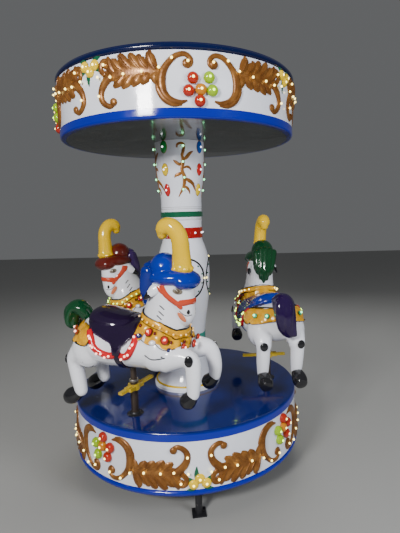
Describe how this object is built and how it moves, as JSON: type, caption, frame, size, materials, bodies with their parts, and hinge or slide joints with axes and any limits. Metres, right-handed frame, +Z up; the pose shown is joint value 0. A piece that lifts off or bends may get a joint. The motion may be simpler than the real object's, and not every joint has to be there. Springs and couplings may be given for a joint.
{
  "type": "three-horse kiddie carousel",
  "caption": "Small fairground carousel: glossy horses on sliding posts ride round a central column between a drum base and a matching canopy.",
  "frame": {"origin": "on the floor under the middle of the machine's whole extent; the turning axis stands at x -0.019, y -0.028", "axes": "+Z up along the turning axis; -Y towards the side shown in the picture, with one horse front left and one at the right"},
  "size_m": [1.2379, 1.294, 1.987],
  "materials": {
    "dark_steel": "black paint, worn",
    "royal_blue_gelcoat": "high gloss",
    "white_gelcoat": "high gloss",
    "deck_blue_gelcoat": "high gloss",
    "dark_blue_gelcoat": "high gloss",
    "soffit_grey": "high gloss",
    "red_paint": "gloss paint",
    "green_paint": "gloss paint",
    "post_steel": "worn steel tube",
    "tread_yellow": "gloss paint",
    "gold_paint": "gloss paint",
    "plume_yellow": "gloss paint",
    "hat_blue": "gloss paint",
    "hat_green": "gloss paint",
    "hat_brown": "gloss paint",
    "saddle_purple": "gloss paint",
    "saddle_blue": "gloss paint",
    "saddle_green": "gloss paint",
    "tail_green": "gloss paint",
    "tail_purple": "gloss paint",
    "tail_blue": "gloss paint"
  },
  "bodies": {
    "base": {"leg_1": "dark_steel", "leg_2": "dark_steel", "leg_3": "dark_steel", "leg_4": "dark_steel", "chassis": "dark_steel"},
    "turntable": {"turntable_frame": "dark_steel", "drum_bead": "royal_blue_gelcoat", "drum_wall": "white_gelcoat", "deck": "deck_blue_gelcoat", "column_foot": "white_gelcoat", "column_shaft": "white_gelcoat", "column_red_band": "red_paint", "column_green_band": "green_paint", "column_head": "white_gelcoat", "canopy_soffit": "soffit_grey", "canopy_band": "royal_blue_gelcoat", "canopy_wall": "white_gelcoat", "canopy_lid": "dark_blue_gelcoat", "front_gland": "dark_steel", "right_gland": "dark_steel", "back_gland": "dark_steel"},
    "front_mount": {"front_post": "post_steel", "front_footrest": "tread_yellow", "front_horse": "white_gelcoat", "front_hat": "hat_blue", "front_plume": "plume_yellow", "front_saddle": "saddle_purple", "front_collar": "gold_paint", "front_tail": "tail_green"},
    "right_mount": {"right_post": "post_steel", "right_footrest": "tread_yellow", "right_horse": "white_gelcoat", "right_hat": "hat_green", "right_plume": "plume_yellow", "right_saddle": "saddle_blue", "right_collar": "gold_paint", "right_tail": "tail_purple"},
    "back_mount": {"back_post": "post_steel", "back_footrest": "tread_yellow", "back_horse": "white_gelcoat", "back_hat": "hat_brown", "back_plume": "plume_yellow", "back_saddle": "saddle_green", "back_collar": "gold_paint", "back_tail": "tail_blue"}
  },
  "joints": [
    {"name": "turntable_spin", "type": "hinge", "parent": "base", "child": "turntable", "pos_m": [-0.019, -0.028, 0], "axis": [0, 0, 1], "continuous": true},
    {"name": "front_rise", "type": "slide", "parent": "turntable", "child": "front_mount", "axis": [0, 0, 1], "range_m": [-0.03, 0.05]},
    {"name": "right_rise", "type": "slide", "parent": "turntable", "child": "right_mount", "axis": [0, 0, 1], "range_m": [-0.03, 0.05]},
    {"name": "back_rise", "type": "slide", "parent": "turntable", "child": "back_mount", "axis": [0, 0, 1], "range_m": [-0.03, 0.05]}
  ]
}
